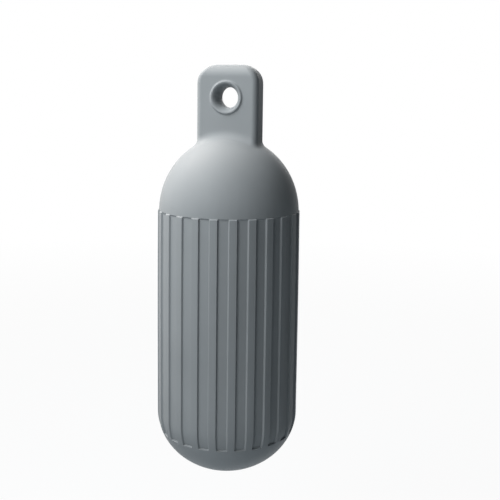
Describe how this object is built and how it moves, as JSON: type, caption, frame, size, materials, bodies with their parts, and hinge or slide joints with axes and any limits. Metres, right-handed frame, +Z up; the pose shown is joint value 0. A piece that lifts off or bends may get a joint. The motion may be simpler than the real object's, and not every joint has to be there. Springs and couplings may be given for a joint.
{
  "type": "boat fender",
  "caption": "Moulded vinyl boat fender: ribbed cylindrical body with domed shoulder and round foot, hung from one beaded eye in a flat tab.",
  "frame": {"origin": "centre of the eye's hole at the tab's middle plane, from which the fender hangs", "axes": "+Z up along the body's axis towards the top of the eye tab, +Y along the eye's hole, with -Y out of the tab's front face, and +X to the right of someone who looks at that face"},
  "size_m": [0.152, 0.152, 0.4389],
  "materials": {
    "vinyl": "satin moulded soft vinyl",
    "valve_rubber": "matt black rubber"
  },
  "bodies": {
    "root": {"fender_body": "vinyl", "valve_plug": "valve_rubber"}
  },
  "joints": []
}
